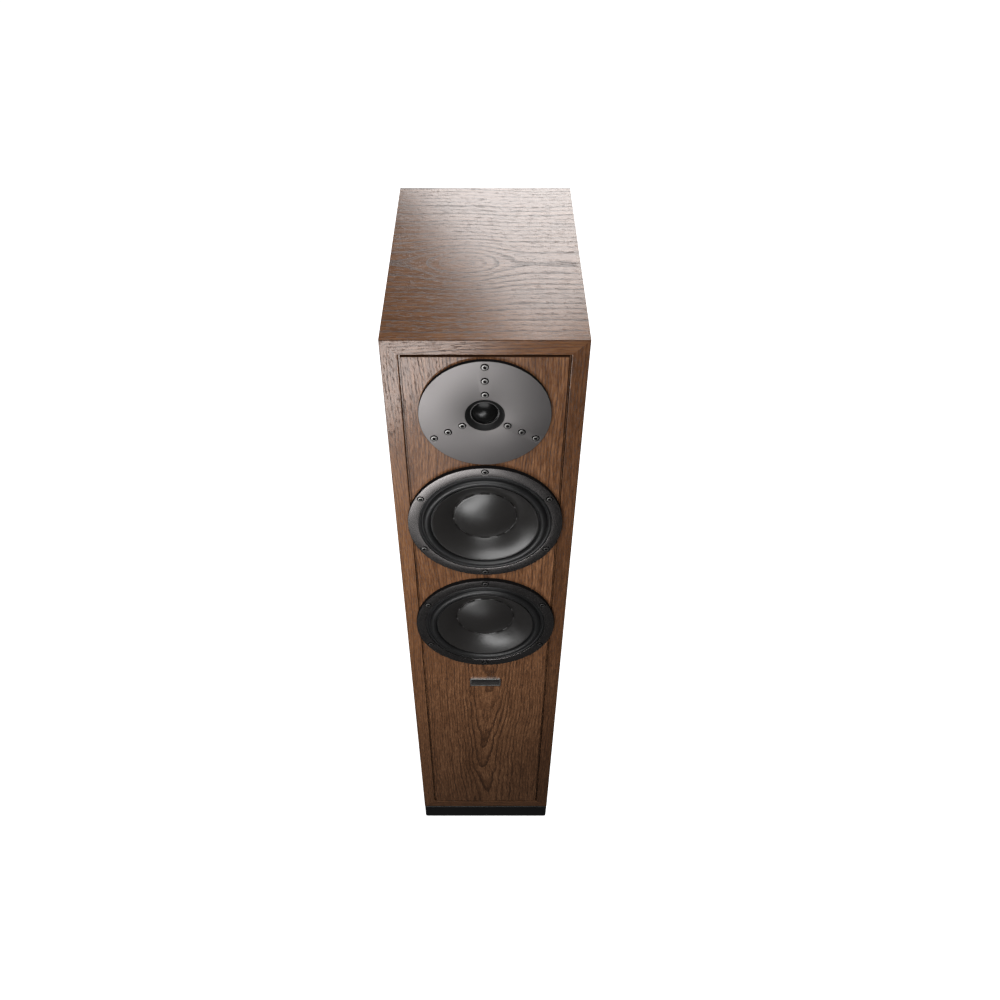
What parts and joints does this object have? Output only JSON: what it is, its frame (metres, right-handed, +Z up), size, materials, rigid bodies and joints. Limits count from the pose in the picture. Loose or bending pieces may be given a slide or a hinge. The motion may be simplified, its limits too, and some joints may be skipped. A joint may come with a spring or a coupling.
{
  "type": "floorstanding speaker",
  "caption": "Slim floorstanding two-way loudspeaker: soft dome tweeter over two cone woofers in a mitred walnut cabinet on a black plinth, with levelling feet and rear terminals.",
  "frame": {"origin": "on the floor, under the middle of the whole speaker's box", "axes": "+Z up, the front faces -Y, +X to the viewer's right when looking at the front"},
  "size_m": [0.208, 0.3506, 1.008],
  "materials": {
    "walnut_veneer": "satin lacquered walnut veneer",
    "walnut_lipping": "satin lacquered solid walnut",
    "brace_board": "raw fibreboard",
    "plinth_lacquer": "satin black lacquer on fibreboard",
    "foot_rubber": "matte",
    "stud_steel": "zinc plated",
    "tweeter_plate": "satin grey anodised",
    "flare_black": "satin black",
    "dome_cloth": "coated soft cloth",
    "coil_winding": "enamelled wire",
    "motor_steel": "plated steel",
    "chamber_alloy": "black painted",
    "basket_alloy": "satin black painted casting",
    "surround_rubber": "satin black",
    "cone_polymer": "satin black filled polymer",
    "spider_cloth": "resin dipped cloth",
    "port_plastic": "satin black",
    "terminal_plastic": "satin black",
    "post_brass": "gold plated",
    "knob_red": "clear red",
    "knob_black": "clear black",
    "crossover_board": "hard board",
    "inductor_copper": "enamelled copper wire",
    "capacitor_film": "wrapped film",
    "badge_metal": "brushed",
    "screw_steel": "dark plated"
  },
  "bodies": {
    "cabinet": {"top_panel": "walnut_veneer", "bottom_panel": "walnut_veneer", "left_side_panel": "walnut_veneer", "right_side_panel": "walnut_veneer", "back_panel": "walnut_veneer", "front_baffle": "walnut_veneer", "frame_top_rail": "walnut_lipping", "frame_bottom_rail": "walnut_lipping", "frame_left_stile": "walnut_lipping", "frame_right_stile": "walnut_lipping", "upper_brace": "brace_board", "lower_brace": "brace_board", "plinth": "plinth_lacquer", "tweeter_faceplate": "tweeter_plate", "tweeter_screw_1": "screw_steel", "tweeter_screw_2": "screw_steel", "tweeter_screw_3": "screw_steel", "tweeter_screw_4": "screw_steel", "tweeter_screw_5": "screw_steel", "tweeter_screw_6": "screw_steel", "tweeter_screw_7": "screw_steel", "tweeter_screw_8": "screw_steel", "tweeter_screw_9": "screw_steel", "tweeter_flare_ring": "flare_black", "tweeter_motor": "motor_steel", "tweeter_rear_chamber": "chamber_alloy", "upper_woofer_basket": "basket_alloy", "upper_woofer_surround": "surround_rubber", "upper_woofer_spider": "spider_cloth", "upper_woofer_motor": "motor_steel", "lower_woofer_basket": "basket_alloy", "lower_woofer_surround": "surround_rubber", "lower_woofer_spider": "spider_cloth", "lower_woofer_motor": "motor_steel", "port_tube": "port_plastic", "terminal_plate": "terminal_plastic", "left_post_stem": "post_brass", "right_post_stem": "post_brass", "crossover_board": "crossover_board", "crossover_inductor": "inductor_copper", "crossover_capacitor": "capacitor_film", "badge_plate": "badge_metal"},
    "upper_woofer_moving": {"upper_woofer_cone": "cone_polymer", "upper_woofer_voice_coil": "coil_winding"},
    "lower_woofer_moving": {"lower_woofer_cone": "cone_polymer", "lower_woofer_voice_coil": "coil_winding"},
    "tweeter_moving": {"tweeter_diaphragm": "dome_cloth", "tweeter_voice_coil": "coil_winding"},
    "front_left_pad": {"front_left_foot_pad": "foot_rubber"},
    "front_left_stud": {"front_left_foot_stud": "stud_steel"},
    "front_right_pad": {"front_right_foot_pad": "foot_rubber"},
    "front_right_stud": {"front_right_foot_stud": "stud_steel"},
    "back_left_pad": {"back_left_foot_pad": "foot_rubber"},
    "back_left_stud": {"back_left_foot_stud": "stud_steel"},
    "back_right_pad": {"back_right_foot_pad": "foot_rubber"},
    "back_right_stud": {"back_right_foot_stud": "stud_steel"},
    "left_post_clamp": {"left_post_clamp_ring": "post_brass"},
    "left_post_nut": {"left_post_knob": "knob_red"},
    "right_post_clamp": {"right_post_clamp_ring": "post_brass"},
    "right_post_nut": {"right_post_knob": "knob_black"}
  },
  "joints": [
    {"name": "upper_woofer_excursion", "type": "slide", "parent": "cabinet", "child": "upper_woofer_moving", "axis": [0, -1, 0], "range_m": [-0.006, 0.006], "stiffness_N_per_m": 1300, "deforming": ["upper_woofer_surround", "upper_woofer_spider"]},
    {"name": "lower_woofer_excursion", "type": "slide", "parent": "cabinet", "child": "lower_woofer_moving", "axis": [0, -1, 0], "range_m": [-0.006, 0.006], "stiffness_N_per_m": 1300, "deforming": ["lower_woofer_surround", "lower_woofer_spider"]},
    {"name": "tweeter_excursion", "type": "slide", "parent": "cabinet", "child": "tweeter_moving", "axis": [0, -1, 0], "range_m": [-0.0005, 0.0005], "stiffness_N_per_m": 1000},
    {"name": "front_left_foot_lift", "type": "slide", "parent": "cabinet", "child": "front_left_pad", "axis": [0, 0, -1], "range_m": [0, 0.01]},
    {"name": "front_left_stud_turn", "type": "hinge", "parent": "front_left_pad", "child": "front_left_stud", "pos_m": [-0.08, -0.1427, 0.02], "axis": [0, 0, -1], "range_deg": [0, 2881]},
    {"name": "front_right_foot_lift", "type": "slide", "parent": "cabinet", "child": "front_right_pad", "axis": [0, 0, -1], "range_m": [0, 0.01]},
    {"name": "front_right_stud_turn", "type": "hinge", "parent": "front_right_pad", "child": "front_right_stud", "pos_m": [0.08, -0.1427, 0.02], "axis": [0, 0, -1], "range_deg": [0, 2881]},
    {"name": "back_left_foot_lift", "type": "slide", "parent": "cabinet", "child": "back_left_pad", "axis": [0, 0, -1], "range_m": [0, 0.01]},
    {"name": "back_left_stud_turn", "type": "hinge", "parent": "back_left_pad", "child": "back_left_stud", "pos_m": [-0.08, 0.1293, 0.02], "axis": [0, 0, -1], "range_deg": [0, 2881]},
    {"name": "back_right_foot_lift", "type": "slide", "parent": "cabinet", "child": "back_right_pad", "axis": [0, 0, -1], "range_m": [0, 0.01]},
    {"name": "back_right_stud_turn", "type": "hinge", "parent": "back_right_pad", "child": "back_right_stud", "pos_m": [0.08, 0.1293, 0.02], "axis": [0, 0, -1], "range_deg": [0, 2881]},
    {"name": "left_post_open", "type": "slide", "parent": "cabinet", "child": "left_post_clamp", "axis": [0, 1, 0], "range_m": [0, 0.006]},
    {"name": "left_knob_turn", "type": "hinge", "parent": "left_post_clamp", "child": "left_post_nut", "pos_m": [-0.019, 0.1683, 0.13], "axis": [0, 1, 0], "range_deg": [0, 2161]},
    {"name": "right_post_open", "type": "slide", "parent": "cabinet", "child": "right_post_clamp", "axis": [0, 1, 0], "range_m": [0, 0.006]},
    {"name": "right_knob_turn", "type": "hinge", "parent": "right_post_clamp", "child": "right_post_nut", "pos_m": [0.019, 0.1683, 0.13], "axis": [0, 1, 0], "range_deg": [0, 2161]}
  ],
  "couplings": [
    {"joint": "front_left_stud_turn", "follows": "front_left_foot_lift", "rad_per_m": 5026.5},
    {"joint": "front_right_stud_turn", "follows": "front_right_foot_lift", "rad_per_m": 5026.5},
    {"joint": "back_left_stud_turn", "follows": "back_left_foot_lift", "rad_per_m": 5026.5},
    {"joint": "back_right_stud_turn", "follows": "back_right_foot_lift", "rad_per_m": 5026.5},
    {"joint": "left_knob_turn", "follows": "left_post_open", "rad_per_m": 6283.2},
    {"joint": "right_knob_turn", "follows": "right_post_open", "rad_per_m": 6283.2}
  ]
}
